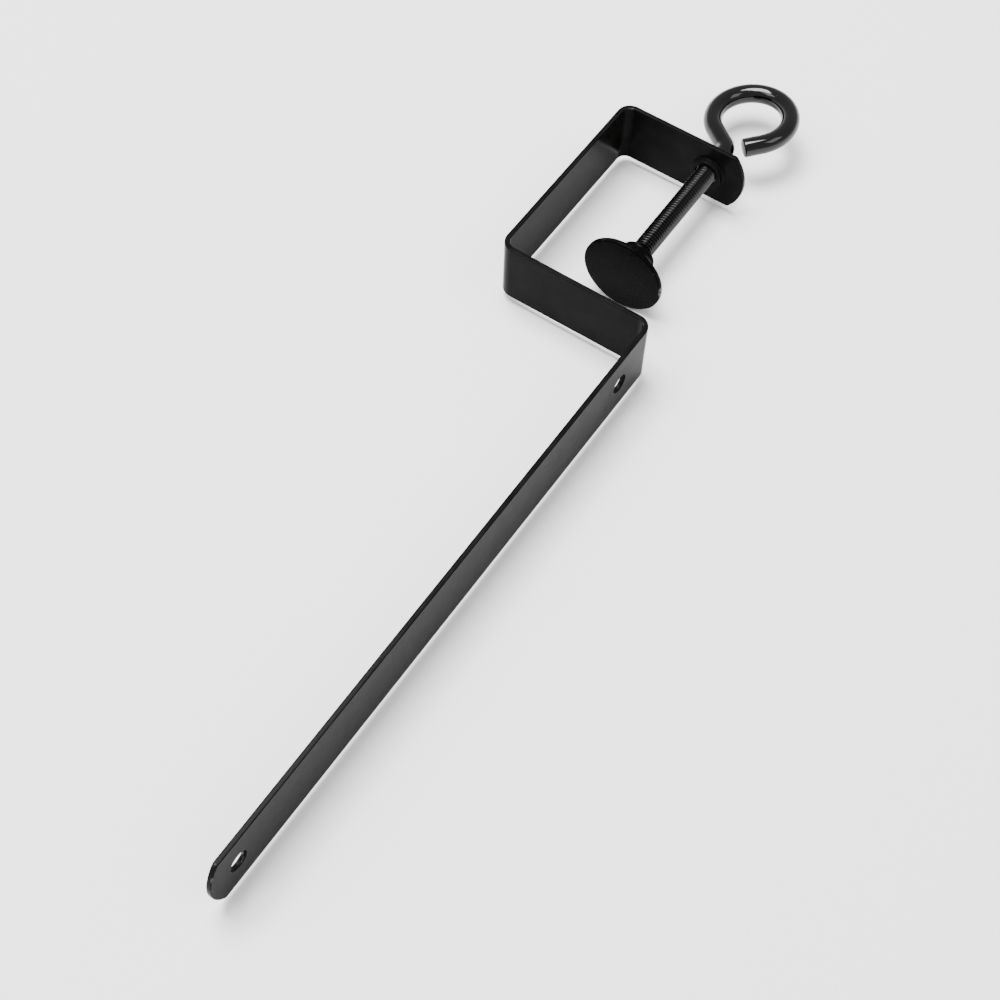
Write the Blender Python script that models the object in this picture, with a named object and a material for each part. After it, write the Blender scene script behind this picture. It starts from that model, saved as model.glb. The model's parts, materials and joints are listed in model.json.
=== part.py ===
"""Table tennis net clamp: a bent strip bracket with a net post, an eye screw and a swivel pad.

Metres, +Z up. The clamp lies on the edge of its strip, so Z runs across the strip's width.
The origin is on the screw's axis, at the jaw face that rests on the table top. The screw runs
along +Y away from that face, and the net post runs along -Y, up beside the net in use.
"""

import math

import bmesh
import bpy
from mathutils import Matrix, Vector

# Strip
STRIP_WIDTH = 0.016
STRIP_THICKNESS = 0.0012
STRIP_EDGE_CHAMFER = 0.0002
BEND_INNER_RADIUS = 0.0022
END_ARC_RADIUS = 0.012
END_FLAT_ANGLE = math.radians(3.0)

# Bracket, measured from the table face and from the screw's axis
POST_HEIGHT = 0.1525
JAW_OPENING = 0.0510
POST_FACE_TO_AXIS = 0.0156
BACK_FACE_TO_AXIS = 0.0229
TAB_END_TO_AXIS = 0.0093

# Holes in the post, for the net's hooks
HOOK_HOLE_RADIUS = 0.00225
TIP_HOLE_TO_TIP = 0.0080
JAW_HOLE_TO_TABLE_FACE = 0.0130

# Length of every cutter, enough to pass right through the strip and the collar
CUT_DEPTH = 0.009

# Tapped hole in the tab, with its drawn-out collar on the jaw side
TAPPED_HOLE_RADIUS = 0.0027
COLLAR_RADIUS = 0.0040
COLLAR_HEIGHT = 0.0014
COLLAR_SINK = 0.0005

# Screw, M5 with a pitch of 0.8 mm, the thread drawn as a cylinder of its major diameter
THREAD_RADIUS = 0.0025
WIRE_RADIUS = 0.00225
BALL_RADIUS = 0.0026
BALL_FLAT_ANGLE = math.radians(12.0)
NECK_RADIUS = 0.0017
THREAD_CHAMFER = 0.0005
THREAD_START_TO_BALL = 0.0034
THREAD_END_TO_TAB = 0.0050
WIRE_END_CHAMFER = 0.0004

# Eye: a bend away from the screw's axis, a straight limb, the ring, and a straight tail
EYE_ROOT_TO_TAB = 0.0059
ROOT_BEND_RADIUS = 0.0035
ROOT_BEND_ANGLE = math.radians(51.0)
EYE_RADIUS = 0.0092
EYE_END_ANGLE = math.radians(-45.0)
EYE_TAIL = 0.0046

# Turn of the screw about its axis at rest, which lifts the eye's +X side
SCREW_TURN = math.radians(-8.0)

# Pad, measured from its face along the screw
PAD_TO_TABLE_FACE = 0.0128
PAD_RADIUS = 0.0100
PAD_RIM_CHAMFER = 0.0003
PAD_RIM_HEIGHT = 0.0012
PAD_NECK_RADIUS = 0.0040
PAD_NECK_START = 0.0060
PAD_HEIGHT = 0.0075
PAD_FLARE_POWER = 1.6
PAD_LIP_RADIUS = 0.0023
PAD_LIP_START = 0.0064
SOCKET_RADIUS = 0.0031
SOCKET_FLOOR = 0.0016
SOCKET_CORNER = 0.0008
BALL_CENTRE_TO_PAD_FACE = 0.0045

BEND_STEPS = 8
END_ARC_STEPS = 8
HOLE_SIDES = 32
WIRE_SIDES = 20
PAD_SIDES = 48
FLARE_STEPS = 6
BALL_STEPS = 6
EYE_STEPS = 36
SMOOTH_ANGLE = math.radians(35.0)

HALF_WIDTH = STRIP_WIDTH / 2
HALF_THICKNESS = STRIP_THICKNESS / 2


def clear_scene():
    for item in list(bpy.data.objects):
        bpy.data.objects.remove(item, do_unlink=True)


def make_material(name, colour, roughness, metallic):
    material = bpy.data.materials.new(name)
    material.use_nodes = True
    shader = material.node_tree.nodes["Principled BSDF"]
    shader.inputs["Base Color"].default_value = (*colour, 1.0)
    shader.inputs["Roughness"].default_value = roughness
    shader.inputs["Metallic"].default_value = metallic
    return material


def add_object(name, bm, material=None, location=(0.0, 0.0, 0.0), parent=None):
    bmesh.ops.recalc_face_normals(bm, faces=bm.faces)
    mesh = bpy.data.meshes.new(name)
    bm.to_mesh(mesh)
    bm.free()
    mesh.shade_smooth()
    mesh.set_sharp_from_angle(angle=SMOOTH_ANGLE)
    item = bpy.data.objects.new(name, mesh)
    item.location = location
    item.parent = parent
    bpy.context.collection.objects.link(item)
    if material is not None:
        mesh.materials.append(material)
    return item


def skin_rings(rings):
    """Join rings of points, all of one length, into a tube closed at both ends."""
    bm = bmesh.new()
    loops = [[bm.verts.new(point) for point in ring] for ring in rings]
    count = len(loops[0])
    for near, far in zip(loops, loops[1:]):
        for i in range(count):
            j = (i + 1) % count
            bm.faces.new((near[i], near[j], far[j], far[i]))
    bm.faces.new(loops[0])
    bm.faces.new(loops[-1])
    return bm


# Bracket ----------------------------------------------------------------------------------

def bracket_path():
    """Stations along the strip's middle: point, direction and half width."""
    radius = BEND_INNER_RADIUS + HALF_THICKNESS
    post_x = POST_FACE_TO_AXIS - HALF_THICKNESS
    back_x = -BACK_FACE_TO_AXIS - HALF_THICKNESS
    jaw_y = -HALF_THICKNESS
    tab_y = JAW_OPENING + HALF_THICKNESS
    tip = Vector((post_x, -POST_HEIGHT, 0.0))
    tab_end = Vector((TAB_END_TO_AXIS, tab_y, 0.0))
    stations = []

    arc_angle = math.asin(HALF_WIDTH / END_ARC_RADIUS)
    arc = []
    for i in range(END_ARC_STEPS + 1):
        angle = END_FLAT_ANGLE + (arc_angle - END_FLAT_ANGLE) * i / END_ARC_STEPS
        arc.append((END_ARC_RADIUS * (1.0 - math.cos(angle)), END_ARC_RADIUS * math.sin(angle)))

    for distance, half_width in arc:
        stations.append((tip + Vector((0.0, distance, 0.0)), Vector((0.0, 1.0, 0.0)), half_width))

    # Bends: centre of the bend, angle of its first radius, and the turn
    bends = (
        (Vector((post_x - radius, jaw_y - radius, 0.0)), 0.0, 1),
        (Vector((back_x + radius, jaw_y + radius, 0.0)), math.radians(270.0), -1),
        (Vector((back_x + radius, tab_y - radius, 0.0)), math.radians(180.0), -1),
    )
    for centre, first, turn in bends:
        for i in range(BEND_STEPS + 1):
            angle = first + turn * math.radians(90.0) * i / BEND_STEPS
            outward = Vector((math.cos(angle), math.sin(angle), 0.0))
            along = Vector((-outward.y, outward.x, 0.0)) * turn
            stations.append((centre + outward * radius, along, HALF_WIDTH))

    for distance, half_width in reversed(arc):
        stations.append((tab_end - Vector((distance, 0.0, 0.0)), Vector((1.0, 0.0, 0.0)), half_width))
    return stations


def strip_section(point, along, half_width):
    """Rectangle across the strip, its four edges chamfered."""
    side = Vector((along.y, -along.x, 0.0))
    cut = STRIP_EDGE_CHAMFER
    corners = (
        (HALF_THICKNESS, half_width - cut),
        (HALF_THICKNESS - cut, half_width),
        (cut - HALF_THICKNESS, half_width),
        (-HALF_THICKNESS, half_width - cut),
        (-HALF_THICKNESS, cut - half_width),
        (cut - HALF_THICKNESS, -half_width),
        (HALF_THICKNESS - cut, -half_width),
        (HALF_THICKNESS, cut - half_width),
    )
    return [point + side * across + Vector((0.0, 0.0, height)) for across, height in corners]


def add_cylinder(name, centre, axis, radius, length):
    """Cylinder used as a cutter or to add a boss; axis is 'X' or 'Y'."""
    bm = bmesh.new()
    bmesh.ops.create_cone(
        bm, cap_ends=True, segments=HOLE_SIDES, radius1=radius, radius2=radius, depth=length
    )
    item = add_object(name, bm, location=centre)
    if axis == "X":
        item.rotation_euler = (0.0, math.radians(90.0), 0.0)
    else:
        item.rotation_euler = (math.radians(90.0), 0.0, 0.0)
    item.hide_render = True
    item.display_type = "WIRE"
    return item


def add_boolean(item, tool, operation):
    modifier = item.modifiers.new(tool.name, "BOOLEAN")
    modifier.operation = operation
    modifier.solver = "EXACT"
    modifier.object = tool


def build_bracket(material):
    rings = [strip_section(*station) for station in bracket_path()]
    bracket = add_object("bracket", skin_rings(rings), material)

    collar_length = COLLAR_HEIGHT + COLLAR_SINK
    collar_y = JAW_OPENING - COLLAR_HEIGHT + collar_length / 2
    collar = add_cylinder("collar_boss", (0.0, collar_y, 0.0), "Y", COLLAR_RADIUS, collar_length)
    add_boolean(bracket, collar, "UNION")

    tapped = add_cylinder("tapped_hole", (0.0, JAW_OPENING, 0.0), "Y", TAPPED_HOLE_RADIUS, CUT_DEPTH)
    add_boolean(bracket, tapped, "DIFFERENCE")

    hole_places = {
        "tip_hook_hole": TIP_HOLE_TO_TIP - POST_HEIGHT,
        "jaw_hook_hole": -JAW_HOLE_TO_TABLE_FACE,
    }
    for name, place in hole_places.items():
        hole = add_cylinder(name, (POST_FACE_TO_AXIS, place, 0.0), "X", HOOK_HOLE_RADIUS, CUT_DEPTH)
        add_boolean(bracket, hole, "DIFFERENCE")
    return bracket


# Screw ------------------------------------------------------------------------------------

def ring_on_wire(centre, along, radius):
    side = Vector((along.y, -along.x, 0.0))
    upward = Vector((0.0, 0.0, 1.0))
    ring = []
    for i in range(WIRE_SIDES):
        angle = math.tau * i / WIRE_SIDES
        ring.append(centre + (side * math.cos(angle) + upward * math.sin(angle)) * radius)
    return ring


def screw_stations():
    """Stations from the ball to the end of the eye, measured from the ball's centre along +Y."""
    ball_to_tab = JAW_OPENING + STRIP_THICKNESS - PAD_TO_TABLE_FACE - BALL_CENTRE_TO_PAD_FACE
    thread_end = ball_to_tab + THREAD_END_TO_TAB
    root = ball_to_tab + EYE_ROOT_TO_TAB
    forward = Vector((0.0, 1.0, 0.0))
    stations = []

    first = BALL_FLAT_ANGLE
    last = math.pi - math.asin(NECK_RADIUS / BALL_RADIUS)
    for i in range(BALL_STEPS + 1):
        angle = first + (last - first) * i / BALL_STEPS
        centre = Vector((0.0, -BALL_RADIUS * math.cos(angle), 0.0))
        stations.append((centre, forward, BALL_RADIUS * math.sin(angle)))

    shaft = (
        (THREAD_START_TO_BALL, NECK_RADIUS),
        (THREAD_START_TO_BALL + THREAD_CHAMFER, THREAD_RADIUS),
        (thread_end, THREAD_RADIUS),
        (thread_end + THREAD_RADIUS - WIRE_RADIUS, WIRE_RADIUS),
    )
    for place, radius in shaft:
        stations.append((Vector((0.0, place, 0.0)), forward, radius))

    # The wire bends towards -X at the root
    bend_centre = Vector((-ROOT_BEND_RADIUS, root, 0.0))
    for i in range(BEND_STEPS + 1):
        angle = ROOT_BEND_ANGLE * i / BEND_STEPS
        outward = Vector((math.cos(angle), math.sin(angle), 0.0))
        along = Vector((-outward.y, outward.x, 0.0))
        stations.append((bend_centre + outward * ROOT_BEND_RADIUS, along, WIRE_RADIUS))

    # The straight limb meets the ring as a tangent, with the ring centred on the screw's axis
    ring_x = EYE_RADIUS * math.cos(ROOT_BEND_ANGLE)
    bend_x = ROOT_BEND_RADIUS * (1.0 - math.cos(ROOT_BEND_ANGLE))
    limb = (ring_x - bend_x) / math.sin(ROOT_BEND_ANGLE)
    limb_end = stations[-1][0] + stations[-1][1] * limb
    eye_centre = Vector((0.0, limb_end.y + EYE_RADIUS * math.sin(ROOT_BEND_ANGLE), 0.0))

    # The ring runs clockwise
    eye_start = math.pi + ROOT_BEND_ANGLE
    for i in range(EYE_STEPS + 1):
        angle = eye_start + (EYE_END_ANGLE - eye_start) * i / EYE_STEPS
        outward = Vector((math.cos(angle), math.sin(angle), 0.0))
        along = Vector((outward.y, -outward.x, 0.0))
        stations.append((eye_centre + outward * EYE_RADIUS, along, WIRE_RADIUS))

    ring_end, along, _ = stations[-1]
    wire_end = ring_end + along * EYE_TAIL
    stations.append((wire_end - along * WIRE_END_CHAMFER, along, WIRE_RADIUS))
    stations.append((wire_end, along, WIRE_RADIUS - WIRE_END_CHAMFER))
    return stations


def build_screw(material, pad):
    bm = skin_rings([ring_on_wire(*station) for station in screw_stations()])
    turn = Matrix.Rotation(SCREW_TURN, 3, "Y")
    bmesh.ops.rotate(bm, verts=bm.verts, cent=(0.0, 0.0, 0.0), matrix=turn)
    return add_object("clamp_screw", bm, material, parent=pad)


# Pad --------------------------------------------------------------------------------------

def pad_profile():
    """Radius and height above the pad's face, round the outside and back down the socket."""
    profile = [
        (PAD_RADIUS - PAD_RIM_CHAMFER, 0.0),
        (PAD_RADIUS, PAD_RIM_CHAMFER),
        (PAD_RADIUS, PAD_RIM_HEIGHT),
    ]
    flare_start = PAD_RADIUS - PAD_RIM_CHAMFER
    for i in range(FLARE_STEPS + 1):
        share = i / FLARE_STEPS
        radius = PAD_NECK_RADIUS + (flare_start - PAD_NECK_RADIUS) * (1.0 - share) ** PAD_FLARE_POWER
        height = PAD_RIM_HEIGHT + PAD_RIM_CHAMFER + (PAD_NECK_START - PAD_RIM_HEIGHT) * share
        profile.append((radius, height))
    profile += [
        (PAD_NECK_RADIUS, PAD_HEIGHT - PAD_RIM_CHAMFER),
        (PAD_NECK_RADIUS - PAD_RIM_CHAMFER, PAD_HEIGHT),
        (PAD_LIP_RADIUS, PAD_HEIGHT),
        (PAD_LIP_RADIUS, PAD_LIP_START),
        (SOCKET_RADIUS, PAD_LIP_START - SOCKET_CORNER),
        (SOCKET_RADIUS, SOCKET_FLOOR + SOCKET_CORNER),
        (SOCKET_RADIUS - SOCKET_CORNER, SOCKET_FLOOR),
    ]
    return profile


def build_pad(material, bracket):
    rings = []
    for radius, height in pad_profile():
        ring = []
        for i in range(PAD_SIDES):
            angle = math.tau * i / PAD_SIDES
            place = height - BALL_CENTRE_TO_PAD_FACE
            ring.append(Vector((radius * math.cos(angle), place, radius * math.sin(angle))))
        rings.append(ring)
    ball_centre = (0.0, PAD_TO_TABLE_FACE + BALL_CENTRE_TO_PAD_FACE, 0.0)
    return add_object("swivel_pad", skin_rings(rings), material, location=ball_centre, parent=bracket)


def main():
    clear_scene()
    coat = make_material("black_coat", (0.018, 0.018, 0.017), 0.38, 0.0)
    gloss = make_material("black_gloss_coat", (0.010, 0.010, 0.011), 0.22, 0.0)
    pressed = make_material("black_pressed_steel", (0.014, 0.014, 0.013), 0.34, 0.0)
    bracket = build_bracket(coat)
    pad = build_pad(pressed, bracket)
    build_screw(gloss, pad)


main()
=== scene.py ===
"""Looks for the table tennis net clamp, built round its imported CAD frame.

Metres, +Z up. The clamp lies on the edge of its strip, with the screw along Y.
"""

import json
import math

import bmesh
import bpy
from mathutils import Matrix, Vector


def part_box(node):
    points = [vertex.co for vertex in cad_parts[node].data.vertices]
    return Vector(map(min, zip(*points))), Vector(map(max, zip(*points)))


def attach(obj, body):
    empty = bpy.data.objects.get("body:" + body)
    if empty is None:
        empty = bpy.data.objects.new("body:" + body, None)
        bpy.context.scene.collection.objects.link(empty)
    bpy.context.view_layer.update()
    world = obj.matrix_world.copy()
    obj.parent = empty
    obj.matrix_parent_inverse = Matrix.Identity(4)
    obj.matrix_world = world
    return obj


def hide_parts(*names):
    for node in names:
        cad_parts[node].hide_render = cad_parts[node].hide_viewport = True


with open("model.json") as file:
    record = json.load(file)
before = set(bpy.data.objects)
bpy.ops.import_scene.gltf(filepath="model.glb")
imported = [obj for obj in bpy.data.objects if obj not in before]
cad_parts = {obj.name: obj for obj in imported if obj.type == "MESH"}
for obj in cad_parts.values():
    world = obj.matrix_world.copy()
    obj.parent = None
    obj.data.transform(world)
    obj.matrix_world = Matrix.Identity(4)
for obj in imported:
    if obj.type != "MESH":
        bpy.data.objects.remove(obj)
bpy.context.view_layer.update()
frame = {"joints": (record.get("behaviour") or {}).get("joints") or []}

# Places read from the frame
BRACKET_LOW, BRACKET_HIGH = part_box("bracket")
PAD_LOW, PAD_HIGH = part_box("swivel_pad")
BALL_CENTRE_Y = next(j["pos_m"][1] for j in frame["joints"] if j["name"] == "screw_turn")

# Strip of the bracket
HALF_WIDTH = BRACKET_HIGH.z
STRIP_THICKNESS = 0.0012
BEND_INNER_RADIUS = 0.0022
BEND_STEPS = 14
END_ARC_RADIUS = 0.012
END_ARC_STEPS = 24
TAB_END_X = 0.0093
EDGE_ROUND = 0.00026
EDGE_SEGMENTS = 3

# Area of the smallest face that counts as a flat, for the wear on the edges
SMALLEST_FLAT = 2.0e-6

# Holes for the net's hooks
HOOK_HOLE_RADIUS = 0.00225
HOOK_HOLE_SIDES = 48
TIP_HOLE_TO_TIP = 0.0080
JAW_HOLE_Y = -0.0130

# Lengths of the cutters, enough to pass right through the strip and beyond its ends
END_CUT_DEPTH = 0.006
END_CUT_BEYOND = 0.003
HOLE_CUT_DEPTH = 0.008

# Tapped hole and its drawn collar
BORE_RADIUS = 0.00262
COLLAR_RADIUS = 0.0040
COLLAR_HEIGHT = 0.0014
COLLAR_SIDES = 64
COLLAR_REACH = 0.0044
COLLAR_RIM_ROUND = 0.00035
COLLAR_RIM_STEPS = 6
COLLAR_FOOT_STEPS = 12
COLLAR_MARGIN = 0.0006
BORE_CHAMFER = 0.0003
BORE_LEAD_IN = 0.0009
BORE_LEAD_IN_STEPS = 10
CUT_CLEARANCE = 0.001

# Screw
SCREW_SIDES = 40
PITCH = 0.0008
THREAD_ROOT = 0.00202
THREAD_CREST = 0.00248
THREAD_STEPS = 10
THREAD_ROOT_FLAT = 0.08
THREAD_FLANK = 0.8
THREAD_ROUNDING = 0.4
THREAD_FADE = 0.0011
THREAD_RUN_OUT = 0.0003
WIRE_RADIUS = 0.00225
BALL_RADIUS = 0.0026
BALL_FLAT_ANGLE = math.radians(12.0)
BALL_STEPS = 12
NECK_RADIUS = 0.0017
THREAD_START_TO_BALL = 0.0034
THREAD_END_TO_TAB = 0.0050
EYE_ROOT_TO_TAB = 0.0059
ROOT_BEND_RADIUS = 0.0035
ROOT_BEND_ANGLE = math.radians(51.0)
ROOT_BEND_STEPS = 16
EYE_RADIUS = 0.0092
EYE_END_ANGLE = math.radians(-45.0)
EYE_TAIL = 0.0046
EYE_STEPS = 96
SCREW_TURN = math.radians(-8.0)
WIRE_END_ROUND = 0.00045
WIRE_END_STEPS = 5

# Pad, heights measured from its face
PAD_SIDES = 96
PAD_RIM_HEIGHT = 0.0012
PAD_ROUND = 0.00032
PAD_FACE_INSET = 0.0012
PAD_ROUND_STEPS = 6
PAD_NECK_RADIUS = 0.0040
PAD_NECK_START = 0.0060
PAD_HEIGHT = 0.0075
PAD_FLARE_POWER = 1.6
PAD_FLARE_STEPS = 24
PAD_FLARE_INSET = 0.0003
PAD_BEAD_ROUND = 0.00055
PAD_BEAD_PROUD = 0.00012
PAD_BEAD_STEPS = 9
PAD_LIP_RADIUS = 0.0024
PAD_LIP_ROUND = 0.0002
PAD_LIP_STEPS = 4
PAD_LIP_START = 0.0066
SOCKET_RADIUS = 0.0031
SOCKET_TOP = 0.0058
SOCKET_CORNER = 0.0008
SOCKET_FLOOR = 0.0016
PAD_FLAT_STEP = 0.0002

SMOOTH_ANGLE = math.radians(40.0)
NORMAL_WEIGHT = 50
MERGE_DISTANCE = 1.0e-6
THREAD_MERGE_DISTANCE = 1.0e-7


# Mesh helpers -----------------------------------------------------------------------------

def new_object(name, bm):
    """Object made from a bmesh, which is freed."""
    bmesh.ops.recalc_face_normals(bm, faces=bm.faces)
    mesh = bpy.data.meshes.new(name)
    bm.to_mesh(mesh)
    bm.free()
    item = bpy.data.objects.new(name, mesh)
    bpy.context.scene.collection.objects.link(item)
    return item


def smooth(item):
    """Shade smooth, except across the sharp corners."""
    item.data.shade_smooth()
    item.data.set_sharp_from_angle(angle=SMOOTH_ANGLE)


def weight_normals(item):
    modifier = item.modifiers.new("weighted_normal", "WEIGHTED_NORMAL")
    modifier.mode = "FACE_AREA"
    modifier.weight = NORMAL_WEIGHT
    modifier.keep_sharp = True


def skin(rows):
    """Join rows of points, all of one length, into a tube closed at both ends."""
    bm = bmesh.new()
    loops = [[bm.verts.new(point) for point in row] for row in rows]
    count = len(loops[0])
    for near, far in zip(loops, loops[1:]):
        for i in range(count):
            j = (i + 1) % count
            bm.faces.new((near[i], near[j], far[j], far[i]))
    bm.faces.new(loops[0])
    bm.faces.new(loops[-1])
    return bm


def lathe(profile, sides):
    """Turn (radius, y) pairs about the screw's axis."""
    rows = []
    for radius, y in profile:
        row = []
        for i in range(sides):
            angle = math.tau * i / sides
            row.append(Vector((radius * math.cos(angle), y, radius * math.sin(angle))))
        rows.append(row)
    return skin(rows)


def prism(outline, offset):
    """Closed solid between an outline and the same outline moved by offset."""
    bm = bmesh.new()
    near = [bm.verts.new(point) for point in outline]
    far = [bm.verts.new(Vector(point) + Vector(offset)) for point in outline]
    bm.faces.new(near)
    bm.faces.new(list(reversed(far)))
    count = len(near)
    for i in range(count):
        j = (i + 1) % count
        bm.faces.new((near[i], far[i], far[j], near[j]))
    return bm


def arc(centre, radius, first, last, steps):
    """Points on an arc, from the first angle to the last, in degrees."""
    points = []
    for i in range(steps + 1):
        angle = math.radians(first + (last - first) * i / steps)
        points.append((centre[0] + radius * math.cos(angle), centre[1] + radius * math.sin(angle)))
    return points


def cut(item, tools):
    """Apply (operation, tool mesh) pairs in turn, and remove the tools."""
    helpers = []
    for operation, bm in tools:
        tool = new_object("tool", bm)
        helpers.append(tool)
        modifier = item.modifiers.new("cut", "BOOLEAN")
        modifier.operation = operation
        modifier.solver = "EXACT"
        modifier.object = tool
    bpy.context.view_layer.update()
    graph = bpy.context.evaluated_depsgraph_get()
    mesh = bpy.data.meshes.new_from_object(item.evaluated_get(graph))
    item.modifiers.clear()
    old = item.data
    item.data = mesh
    bpy.data.meshes.remove(old)
    for tool in helpers:
        helper_mesh = tool.data
        bpy.data.objects.remove(tool)
        bpy.data.meshes.remove(helper_mesh)


# Bracket ----------------------------------------------------------------------------------

def strip_side(offset):
    """One side of the bent strip, seen along its width; offset is to the right of travel."""
    half = STRIP_THICKNESS / 2
    radius = BEND_INNER_RADIUS + half
    post_x = BRACKET_HIGH.x - half
    back_x = BRACKET_LOW.x + half
    jaw_y = -half
    tab_y = BRACKET_HIGH.y - half
    points = [(post_x + offset, BRACKET_LOW.y)]
    points += arc((post_x - radius, jaw_y - radius), radius + offset, 0, 90, BEND_STEPS)
    points += arc((back_x + radius, jaw_y + radius), radius - offset, 270, 180, BEND_STEPS)
    points += arc((back_x + radius, tab_y - radius), radius - offset, 180, 90, BEND_STEPS)
    points.append((TAB_END_X, tab_y - offset))
    return points


def end_cutter(tip, inward, through):
    """Everything beyond the strip's rounded end."""
    reach = HALF_WIDTH + EDGE_ROUND
    outline = []
    for i in range(END_ARC_STEPS + 1):
        z = reach * (2.0 * i / END_ARC_STEPS - 1.0)
        depth = END_ARC_RADIUS - math.sqrt(END_ARC_RADIUS**2 - z**2)
        outline.append(tip + inward * depth + Vector((0.0, 0.0, z)))
    outline.append(tip - inward * END_CUT_BEYOND + Vector((0.0, 0.0, reach)))
    outline.append(tip - inward * END_CUT_BEYOND - Vector((0.0, 0.0, reach)))
    outline = [point - through / 2 for point in outline]
    return prism(outline, through)


def hole_cutter(y):
    outline = []
    start = Vector((BRACKET_HIGH.x - HOLE_CUT_DEPTH / 2, y, 0.0))
    for i in range(HOOK_HOLE_SIDES):
        angle = math.tau * i / HOOK_HOLE_SIDES
        outline.append(start + Vector((0.0, math.cos(angle), math.sin(angle))) * HOOK_HOLE_RADIUS)
    return prism(outline, (HOLE_CUT_DEPTH, 0.0, 0.0))


def collar_boss():
    """Drawn collar on the tab's inner face, with a fillet at its foot."""
    inner_face = BRACKET_HIGH.y - STRIP_THICKNESS
    rim = inner_face - COLLAR_HEIGHT
    rounding = COLLAR_RIM_ROUND
    fillet = COLLAR_REACH - COLLAR_RADIUS
    profile = arc((COLLAR_RADIUS - rounding, rim + rounding), rounding, 270, 360, COLLAR_RIM_STEPS)
    foot = arc((COLLAR_REACH, inner_face - fillet), fillet, 180, 100, COLLAR_FOOT_STEPS)
    profile += foot
    profile.append((foot[-1][0], inner_face + STRIP_THICKNESS / 2))
    return lathe(profile, COLLAR_SIDES)


def collar_bore():
    """The tapped hole, chamfered at the collar's rim and drawn in from the outer face."""
    outer_face = BRACKET_HIGH.y
    rim = outer_face - STRIP_THICKNESS - COLLAR_HEIGHT
    widened = BORE_RADIUS + BORE_LEAD_IN
    profile = [
        (BORE_RADIUS + BORE_CHAMFER + CUT_CLEARANCE, rim - CUT_CLEARANCE),
        (BORE_RADIUS, rim + BORE_CHAMFER),
    ]
    profile += arc((widened, outer_face - BORE_LEAD_IN), BORE_LEAD_IN, 180, 98, BORE_LEAD_IN_STEPS)
    profile.append((widened, outer_face + CUT_CLEARANCE))
    return lathe(profile, COLLAR_SIDES)


def near_collar(edge):
    """True for the edges of the collar and its hole, which have their own roundings."""
    middle = (edge.verts[0].co + edge.verts[1].co) / 2
    around = math.hypot(middle.x, middle.z)
    on_tab = middle.y > BRACKET_HIGH.y - 3 * STRIP_THICKNESS
    return on_tab and around < COLLAR_REACH + COLLAR_MARGIN


def mark_wear(bm, on_rounding):
    """Store 1 on the rounded edges and 0 on the flats, for the wear in the material."""
    layer = bm.verts.layers.float.new("edge_wear")
    flat = set()
    for face in bm.faces:
        if face.calc_area() > SMALLEST_FLAT:
            flat.update(vert.index for vert in face.verts)
    for vert in bm.verts:
        vert[layer] = 1.0 if vert.index in on_rounding and vert.index not in flat else 0.0


def build_bracket():
    outline = strip_side(STRIP_THICKNESS / 2) + list(reversed(strip_side(-STRIP_THICKNESS / 2)))
    solid = prism([Vector((x, y, -HALF_WIDTH)) for x, y in outline], (0.0, 0.0, 2 * HALF_WIDTH))
    bracket = new_object("bracket_coated", solid)
    half = STRIP_THICKNESS / 2
    tip = Vector((BRACKET_HIGH.x - half, BRACKET_LOW.y, 0.0))
    tab_end = Vector((TAB_END_X, BRACKET_HIGH.y - half, 0.0))
    across_post = Vector((END_CUT_DEPTH, 0.0, 0.0))
    across_tab = Vector((0.0, END_CUT_DEPTH, 0.0))
    cut(bracket, [
        ("DIFFERENCE", end_cutter(tip, Vector((0.0, 1.0, 0.0)), across_post)),
        ("DIFFERENCE", end_cutter(tab_end, Vector((-1.0, 0.0, 0.0)), across_tab)),
        ("DIFFERENCE", hole_cutter(BRACKET_LOW.y + TIP_HOLE_TO_TIP)),
        ("DIFFERENCE", hole_cutter(JAW_HOLE_Y)),
        ("UNION", collar_boss()),
        ("DIFFERENCE", collar_bore()),
    ])
    bm = bmesh.new()
    bm.from_mesh(bracket.data)
    bmesh.ops.remove_doubles(bm, verts=bm.verts, dist=MERGE_DISTANCE)
    sharp = [
        edge for edge in bm.edges
        if edge.is_manifold and edge.calc_face_angle() > SMOOTH_ANGLE and not near_collar(edge)
    ]
    rounded = bmesh.ops.bevel(
        bm, geom=sharp, offset=EDGE_ROUND, offset_type="OFFSET", segments=EDGE_SEGMENTS,
        profile=0.5, affect="EDGES", clamp_overlap=True,
    )
    bm.verts.index_update()
    mark_wear(bm, {vert.index for vert in rounded["verts"]})
    bmesh.ops.recalc_face_normals(bm, faces=bm.faces)
    bm.to_mesh(bracket.data)
    bm.free()
    smooth(bracket)
    weight_normals(bracket)
    return bracket


# Screw ------------------------------------------------------------------------------------

def wire_row(centre, along, radius):
    side = Vector((along.y, -along.x, 0.0))
    upward = Vector((0.0, 0.0, 1.0))
    row = []
    for i in range(SCREW_SIDES):
        angle = math.tau * i / SCREW_SIDES
        row.append(centre + (side * math.cos(angle) + upward * math.sin(angle)) * radius)
    return row


def ease(value):
    value = min(max(value, 0.0), 1.0)
    return value * value * (3.0 - 2.0 * value)


def thread_radius(step):
    """Rolled profile: rounded root, straight flanks, narrow crest."""
    phase = (step % THREAD_STEPS) / THREAD_STEPS
    flank = (1.0 - abs(2.0 * phase - 1.0) - THREAD_ROOT_FLAT) / THREAD_FLANK
    flank = min(max(flank, 0.0), 1.0)
    height = ease(flank) * THREAD_ROUNDING + flank * (1.0 - THREAD_ROUNDING)
    return THREAD_ROOT + (THREAD_CREST - THREAD_ROOT) * height


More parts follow.
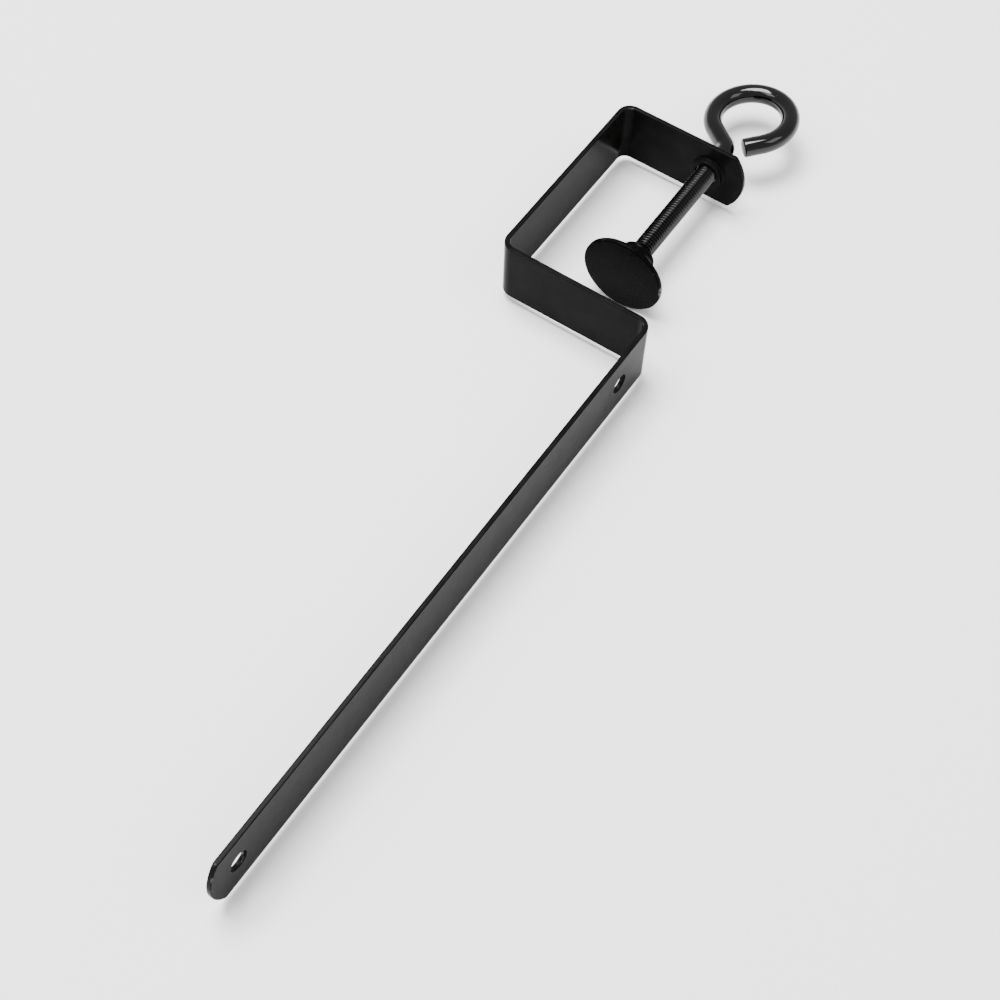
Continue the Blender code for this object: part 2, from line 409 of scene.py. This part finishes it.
def ball_rows(thread_start):
    """Ball and neck, up to the start of the thread."""
    forward = Vector((0.0, 1.0, 0.0))
    last = math.pi - math.asin(NECK_RADIUS / BALL_RADIUS)
    rows = []
    for i in range(BALL_STEPS + 1):
        angle = BALL_FLAT_ANGLE + (last - BALL_FLAT_ANGLE) * i / BALL_STEPS
        y = BALL_CENTRE_Y - BALL_RADIUS * math.cos(angle)
        rows.append(wire_row(Vector((0.0, y, 0.0)), forward, BALL_RADIUS * math.sin(angle)))
    rows.append(wire_row(Vector((0.0, thread_start - THREAD_RUN_OUT, 0.0)), forward, NECK_RADIUS))
    return rows


def thread_rows(thread_start, thread_end):
    """Points and crest heights of rows that follow the helix, each lower by one pitch after a turn."""
    last_row = math.ceil(THREAD_STEPS * ((thread_end - thread_start) / PITCH + 1.0))
    rows = []
    for step in range(last_row + 1):
        points = []
        heights = []
        for i in range(SCREW_SIDES):
            turn = i / SCREW_SIDES
            y = thread_start + PITCH * (step / THREAD_STEPS - turn)
            y = min(max(y, thread_start), thread_end)
            crest = thread_radius(step)
            at_start = ease((y - thread_start) / THREAD_FADE)
            at_end = ease((thread_end - y) / THREAD_FADE)
            radius = NECK_RADIUS + (crest - NECK_RADIUS) * at_start
            radius = WIRE_RADIUS + (radius - WIRE_RADIUS) * at_end
            angle = math.tau * turn
            points.append(Vector((radius * math.cos(angle), y, radius * math.sin(angle))))
            height = (crest - THREAD_ROOT) / (THREAD_CREST - THREAD_ROOT)
            heights.append(height * at_start * at_end)
        rows.append((points, heights))
    return rows


def eye_rows(thread_end, root):
    """Wire after the thread: root bend, straight limb, ring and straight tail."""
    start = Vector((0.0, thread_end + THREAD_RUN_OUT, 0.0))
    rows = [wire_row(start, Vector((0.0, 1.0, 0.0)), WIRE_RADIUS)]
    bend_centre = Vector((-ROOT_BEND_RADIUS, root, 0.0))
    for i in range(ROOT_BEND_STEPS + 1):
        angle = ROOT_BEND_ANGLE * i / ROOT_BEND_STEPS
        outward = Vector((math.cos(angle), math.sin(angle), 0.0))
        along = Vector((-outward.y, outward.x, 0.0))
        bend_end = bend_centre + outward * ROOT_BEND_RADIUS
        rows.append(wire_row(bend_end, along, WIRE_RADIUS))

    # The straight limb meets the ring as a tangent, with the ring centred on the screw's axis
    ring_x = EYE_RADIUS * math.cos(ROOT_BEND_ANGLE)
    bend_x = ROOT_BEND_RADIUS * (1.0 - math.cos(ROOT_BEND_ANGLE))
    limb_end = bend_end + along * (ring_x - bend_x) / math.sin(ROOT_BEND_ANGLE)
    eye_centre = Vector((0.0, limb_end.y + EYE_RADIUS * math.sin(ROOT_BEND_ANGLE), 0.0))
    eye_start = math.pi + ROOT_BEND_ANGLE
    for i in range(EYE_STEPS + 1):
        angle = eye_start + (EYE_END_ANGLE - eye_start) * i / EYE_STEPS
        outward = Vector((math.cos(angle), math.sin(angle), 0.0))
        along = Vector((outward.y, -outward.x, 0.0))
        ring_end = eye_centre + outward * EYE_RADIUS
        rows.append(wire_row(ring_end, along, WIRE_RADIUS))

    wire_end = ring_end + along * EYE_TAIL
    for i in range(WIRE_END_STEPS + 1):
        turn = math.radians(90.0) * i / WIRE_END_STEPS
        centre = wire_end - along * WIRE_END_ROUND * (1.0 - math.sin(turn))
        rows.append(wire_row(centre, along, WIRE_RADIUS - WIRE_END_ROUND * (1.0 - math.cos(turn))))
    return rows


def build_screw():
    thread_start = BALL_CENTRE_Y + THREAD_START_TO_BALL
    thread_end = BRACKET_HIGH.y + THREAD_END_TO_TAB
    bm = bmesh.new()
    wear = bm.verts.layers.float.new("edge_wear")

    def add_row(points, worn=None):
        row = []
        for i, point in enumerate(points):
            vert = bm.verts.new(point)
            vert[wear] = worn[i] if worn else 0.0
            row.append(vert)
        return row

    def join(near, far):
        for i in range(SCREW_SIDES):
            j = (i + 1) % SCREW_SIDES
            bm.faces.new((near[i], near[j], far[j], far[i]))

    helix = [add_row(points, heights) for points, heights in thread_rows(thread_start, thread_end)]
    first_rows = [add_row(points) for points in ball_rows(thread_start)]
    last_rows = [add_row(points) for points in eye_rows(thread_end, BRACKET_HIGH.y + EYE_ROOT_TO_TAB)]

    for near, far in zip(first_rows, first_rows[1:]):
        join(near, far)
    join(first_rows[-1], helix[0])

    # Round the seam each row of the helix meets the row one pitch below it
    for step in range(len(helix) - 1):
        near, far = helix[step], helix[step + 1]
        for i in range(SCREW_SIDES - 1):
            bm.faces.new((near[i], near[i + 1], far[i + 1], far[i]))
        under_near = helix[max(step - THREAD_STEPS, 0)][0]
        under_far = helix[max(step + 1 - THREAD_STEPS, 0)][0]
        corners = []
        for vert in (near[-1], under_near, under_far, far[-1]):
            if vert not in corners:
                corners.append(vert)
        if len(corners) > 2:
            bm.faces.new(corners)
    join(helix[-1], last_rows[0])
    for near, far in zip(last_rows, last_rows[1:]):
        join(near, far)
    bm.faces.new(first_rows[0])
    bm.faces.new(last_rows[-1])
    bmesh.ops.remove_doubles(bm, verts=bm.verts, dist=THREAD_MERGE_DISTANCE)
    bmesh.ops.dissolve_degenerate(bm, dist=THREAD_MERGE_DISTANCE, edges=bm.edges)
    turned = Matrix.Rotation(SCREW_TURN, 3, "Y")
    bmesh.ops.rotate(bm, verts=bm.verts, cent=(0.0, 0.0, 0.0), matrix=turned)
    screw = new_object("eye_screw_threaded", bm)
    smooth(screw)
    return screw


# Pad --------------------------------------------------------------------------------------

def build_pad():
    radius = PAD_HIGH.z
    edge = radius - PAD_ROUND
    profile = [(edge - PAD_FACE_INSET, 0.0), (edge - PAD_FLAT_STEP, 0.0)]
    profile += arc((edge, PAD_ROUND), PAD_ROUND, 270, 360, PAD_ROUND_STEPS)
    profile += arc((edge, PAD_RIM_HEIGHT - PAD_ROUND), PAD_ROUND, 0, 90, PAD_ROUND_STEPS)
    start = edge - PAD_FLARE_INSET
    for i in range(1, PAD_FLARE_STEPS + 1):
        share = i / PAD_FLARE_STEPS
        flare = PAD_NECK_RADIUS + (start - PAD_NECK_RADIUS) * (1.0 - share) ** PAD_FLARE_POWER
        height = PAD_RIM_HEIGHT + PAD_FLAT_STEP + (PAD_NECK_START - PAD_RIM_HEIGHT) * share
        profile.append((flare, height))

    # Crimped bead round the neck, then the lip and the socket behind it
    bead_centre = (PAD_NECK_RADIUS - PAD_BEAD_ROUND + PAD_BEAD_PROUD, PAD_HEIGHT - PAD_BEAD_ROUND)
    profile += arc(bead_centre, PAD_BEAD_ROUND, -40, 90, PAD_BEAD_STEPS)
    lip_centre = (PAD_LIP_RADIUS + PAD_LIP_ROUND, PAD_HEIGHT - PAD_LIP_ROUND)
    profile += arc(lip_centre, PAD_LIP_ROUND, 90, 180, PAD_LIP_STEPS)
    profile += [
        (PAD_LIP_RADIUS, PAD_LIP_START),
        (SOCKET_RADIUS, SOCKET_TOP),
        (SOCKET_RADIUS, SOCKET_FLOOR + SOCKET_CORNER),
        (SOCKET_RADIUS - SOCKET_CORNER, SOCKET_FLOOR),
    ]
    pad = new_object("swivel_pad_turned", lathe([(r, PAD_LOW.y + h) for r, h in profile], PAD_SIDES))
    bm = bmesh.new()
    bm.from_mesh(pad.data)
    wear = bm.verts.layers.float.new("edge_wear")
    for vert in bm.verts:
        around = math.hypot(vert.co.x, vert.co.z)
        height = vert.co.y - PAD_LOW.y
        on_rim = around > edge and height < PAD_RIM_HEIGHT + PAD_FLAT_STEP / 2
        vert[wear] = 1.0 if on_rim else 0.0
    bm.to_mesh(pad.data)
    bm.free()
    smooth(pad)
    weight_normals(pad)
    return pad


# Materials --------------------------------------------------------------------------------

def noise(tree, coords, scale, detail, roughness=0.5):
    node = tree.nodes.new("ShaderNodeTexNoise")
    node.inputs["Scale"].default_value = scale
    node.inputs["Detail"].default_value = detail
    node.inputs["Roughness"].default_value = roughness
    tree.links.new(coords, node.inputs["Vector"])
    return node.outputs["Fac"]


def remap(tree, value, low_high, to_low_high=(0.0, 1.0)):
    node = tree.nodes.new("ShaderNodeMapRange")
    node.inputs["From Min"].default_value = low_high[0]
    node.inputs["From Max"].default_value = low_high[1]
    node.inputs["To Min"].default_value = to_low_high[0]
    node.inputs["To Max"].default_value = to_low_high[1]
    tree.links.new(value, node.inputs["Value"])
    return node.outputs["Result"]


def math_node(tree, operation, first, second):
    node = tree.nodes.new("ShaderNodeMath")
    node.operation = operation
    for socket, value in zip(node.inputs, (first, second)):
        if isinstance(value, (int, float)):
            socket.default_value = value
        else:
            tree.links.new(value, socket)
    return node.outputs["Value"]


def mix_colour(tree, share, first, second):
    node = tree.nodes.new("ShaderNodeMix")
    node.data_type = "RGBA"
    tree.links.new(share, node.inputs["Factor"])
    for socket, value in ((node.inputs[6], first), (node.inputs[7], second)):
        if isinstance(value, tuple):
            socket.default_value = (*value, 1.0)
        else:
            tree.links.new(value, socket)
    return node.outputs[2]


def bump(tree, height, distance, normal=None):
    node = tree.nodes.new("ShaderNodeBump")
    node.inputs["Distance"].default_value = distance
    node.inputs["Strength"].default_value = 1.0
    tree.links.new(height, node.inputs["Height"])
    if normal is not None:
        tree.links.new(normal, node.inputs["Normal"])
    return node.outputs["Normal"]


# Noise scales, per metre
CLOUD_SCALE = 140.0
PEEL_SCALE = 1500.0
SPECK_SCALE = 5200.0
CHIP_SCALE = 420.0
SCUFF_PATCH_SCALE = 60.0
SCUFF_STRETCH = (3200.0, 90.0, 3200.0)
SCUFF_ROTATION = (0.4, 0.2, 0.3)

# Noise values where each effect starts and is full
CLOUD_TONE_RANGE = (0.35, 0.68)
CLOUD_ROUGHNESS_RANGE = (0.3, 0.7)
SPECK_RANGE = (0.4, 0.7)
HAIR_RANGE = (0.66, 0.74)
SCUFF_PATCH_RANGE = (0.48, 0.66)

# Heights of the bumps
PEEL_HEIGHT = 0.00004
SPECK_HEIGHT = 0.000008
WEAR_DEPTH = 0.00001

SCUFF_TONE = 0.12
SCUFF_ROUGHNESS = 0.12
SPECK_ROUGHNESS = (-0.02, 0.03)
CHIP_EDGE = 0.06
CHIP_METALLIC = 0.35


def hairline_scuffs(tree, coords):
    """Fine scratches along the strip, in patches."""
    stretch = tree.nodes.new("ShaderNodeMapping")
    stretch.inputs["Rotation"].default_value = SCUFF_ROTATION
    stretch.inputs["Scale"].default_value = SCUFF_STRETCH
    tree.links.new(coords, stretch.inputs["Vector"])
    hair = noise(tree, stretch.outputs["Vector"], scale=1.0, detail=2.0, roughness=0.6)
    hair = remap(tree, hair, HAIR_RANGE)
    patch = noise(tree, coords, scale=SCUFF_PATCH_SCALE, detail=2.0)
    patch = remap(tree, patch, SCUFF_PATCH_RANGE)
    return math_node(tree, "MULTIPLY", hair, patch)


def edge_chips(tree, coords, wear_from):
    """Chips in the coat, only where the mesh marks a rounded edge or a crest."""
    attribute = tree.nodes.new("ShaderNodeAttribute")
    attribute.attribute_name = "edge_wear"
    chips = noise(tree, coords, scale=CHIP_SCALE, detail=5.0, roughness=0.65)
    chips = remap(tree, chips, (wear_from, wear_from + CHIP_EDGE))
    return math_node(tree, "MULTIPLY", attribute.outputs["Fac"], chips)


def black_finish(name, dark, light, worn, roughness, peel, specular, wear_from):
    """Black coat over steel: mottled tone, orange peel, specks, hairline scuffs and worn edges."""
    material = bpy.data.materials.new(name)
    material.use_nodes = True
    tree = material.node_tree
    shader = tree.nodes["Principled BSDF"]
    shader.inputs["Specular IOR Level"].default_value = specular
    coords = tree.nodes.new("ShaderNodeTexCoord").outputs["Object"]

    cloud = noise(tree, coords, scale=CLOUD_SCALE, detail=4.0)
    fine = noise(tree, coords, scale=PEEL_SCALE, detail=3.0)
    speck = noise(tree, coords, scale=SPECK_SCALE, detail=2.0)
    scuff = hairline_scuffs(tree, coords)
    wear = edge_chips(tree, coords, wear_from)

    tone = mix_colour(tree, remap(tree, cloud, CLOUD_TONE_RANGE), dark, light)
    scuffed = mix_colour(tree, math_node(tree, "MULTIPLY", scuff, SCUFF_TONE), tone, worn)
    colour = mix_colour(tree, wear, scuffed, worn)
    tree.links.new(colour, shader.inputs["Base Color"])

    rough = remap(tree, cloud, CLOUD_ROUGHNESS_RANGE, roughness)
    speck_rough = remap(tree, speck, SPECK_RANGE, SPECK_ROUGHNESS)
    rough = math_node(tree, "ADD", rough, speck_rough)
    scuff_rough = math_node(tree, "MULTIPLY", scuff, SCUFF_ROUGHNESS)
    tree.links.new(math_node(tree, "ADD", rough, scuff_rough), shader.inputs["Roughness"])
    tree.links.new(math_node(tree, "MULTIPLY", wear, CHIP_METALLIC), shader.inputs["Metallic"])

    normal = bump(tree, fine, PEEL_HEIGHT * peel)
    normal = bump(tree, speck, SPECK_HEIGHT * peel, normal)
    normal = bump(tree, math_node(tree, "ADD", wear, scuff), -WEAR_DEPTH, normal)
    tree.links.new(normal, shader.inputs["Normal"])
    return material


def floor_finish():
    material = bpy.data.materials.new("pale_floor")
    material.use_nodes = True
    shader = material.node_tree.nodes["Principled BSDF"]
    shader.inputs["Base Color"].default_value = (0.9, 0.9, 0.9, 1.0)
    shader.inputs["Roughness"].default_value = 0.75
    shader.inputs["Specular IOR Level"].default_value = 0.2
    return material


# Stage ------------------------------------------------------------------------------------

FLOOR_SIZE = 16.0
LIGHT_DISTANCE = 1.3
LIGHT_TARGET = Vector((0.0, -0.04, 0.0))

# Name, direction from the clamp, side in metres and power in watts
SOFTBOXES = (
    ("key", (-0.26, 0.06, 0.96), 0.7, 47.0),
    ("left_fill", (-0.5, -0.35, 0.79), 0.6, 6.0),
    ("right_fill", (0.6, 0.1, 0.79), 0.6, 4.0),
)

WORLD_STRENGTH = 1.6
HORIZON = (0.95, 0.95, 0.96)
OVERHEAD = (0.42, 0.42, 0.43)
SKY_CHANGE = (0.05, 0.30)

CAMERA_AZIMUTH = math.radians(31.8)
CAMERA_ELEVATION = math.radians(57.5)
CAMERA_ROLL = math.radians(2.6)
CAMERA_DISTANCE = 0.378
CAMERA_TARGET = Vector((0.0110, -0.0523, 0.0))
CAMERA_LENS = 65.9
CAMERA_SENSOR = 36.0
CAMERA_CLIP = 0.01


def build_floor(height):
    bm = bmesh.new()
    bmesh.ops.create_grid(bm, x_segments=1, y_segments=1, size=FLOOR_SIZE / 2)
    floor = new_object("floor", bm)
    floor.location = (0.0, 0.0, height)
    floor.data.materials.append(floor_finish())


def add_softbox(name, direction, side, power):
    """Square soft light, aimed at the middle of the clamp."""
    light = bpy.data.lights.new(name, "AREA")
    light.shape = "RECTANGLE"
    light.size = side
    light.size_y = side
    light.energy = power
    item = bpy.data.objects.new(name, light)
    item.location = LIGHT_TARGET + Vector(direction).normalized() * LIGHT_DISTANCE
    item.rotation_euler = (LIGHT_TARGET - item.location).to_track_quat("-Z", "Y").to_euler()
    bpy.context.scene.collection.objects.link(item)


def build_world():
    """Pale all round at floor level, darker overhead."""
    world = bpy.data.worlds.new("studio")
    bpy.context.scene.world = world
    world.use_nodes = True
    tree = world.node_tree
    background = tree.nodes["Background"]
    coords = tree.nodes.new("ShaderNodeTexCoord").outputs["Generated"]
    split = tree.nodes.new("ShaderNodeSeparateXYZ")
    tree.links.new(coords, split.inputs["Vector"])
    share = remap(tree, split.outputs["Z"], SKY_CHANGE)
    tree.links.new(mix_colour(tree, share, HORIZON, OVERHEAD), background.inputs["Color"])
    background.inputs["Strength"].default_value = WORLD_STRENGTH


def build_camera():
    towards = Vector((
        math.sin(CAMERA_AZIMUTH) * math.cos(CAMERA_ELEVATION),
        -math.cos(CAMERA_AZIMUTH) * math.cos(CAMERA_ELEVATION),
        math.sin(CAMERA_ELEVATION),
    ))
    data = bpy.data.cameras.new("camera")
    data.lens = CAMERA_LENS
    data.sensor_width = CAMERA_SENSOR
    data.clip_start = CAMERA_CLIP
    camera = bpy.data.objects.new("camera", data)
    level = (-towards).to_track_quat("-Z", "Y").to_matrix().to_4x4()
    camera.matrix_world = (
        Matrix.Translation(CAMERA_TARGET + towards * CAMERA_DISTANCE)
        @ level
        @ Matrix.Rotation(CAMERA_ROLL, 4, "Z")
    )
    bpy.context.scene.collection.objects.link(camera)
    bpy.context.scene.camera = camera


def main():
    bracket = build_bracket()
    screw = build_screw()
    pad = build_pad()

    # The booleans may have left empty slots
    bracket.data.materials.clear()
    bracket.data.materials.append(black_finish(
        "coated_strip",
        dark=(0.0034, 0.0034, 0.0033), light=(0.0062, 0.0061, 0.0058), worn=(0.07, 0.068, 0.064),
        roughness=(0.17, 0.26), peel=0.6, specular=0.020, wear_from=0.58,
    ))
    screw.data.materials.append(black_finish(
        "gloss_wire",
        dark=(0.0006, 0.0006, 0.0006), light=(0.0014, 0.0014, 0.0013), worn=(0.03, 0.03, 0.03),
        roughness=(0.06, 0.10), peel=0.2, specular=0.40, wear_from=0.64,
    ))
    pad.data.materials.append(black_finish(
        "pressed_pad",
        dark=(0.0009, 0.0009, 0.0009), light=(0.0022, 0.0022, 0.0021), worn=(0.10, 0.097, 0.09),
        roughness=(0.24, 0.34), peel=0.6, specular=0.020, wear_from=0.58,
    ))

    for piece, body, node, slot in (
        (bracket, "bracket", "bracket", "black_coat"),
        (screw, "screw", "clamp_screw", "black_gloss_coat"),
        (pad, "pad", "swivel_pad", "black_pressed_steel"),
    ):
        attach(piece, body)
        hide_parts(node)

    build_floor(PAD_LOW.z)
    build_world()
    for softbox in SOFTBOXES:
        add_softbox(*softbox)
    build_camera()


main()
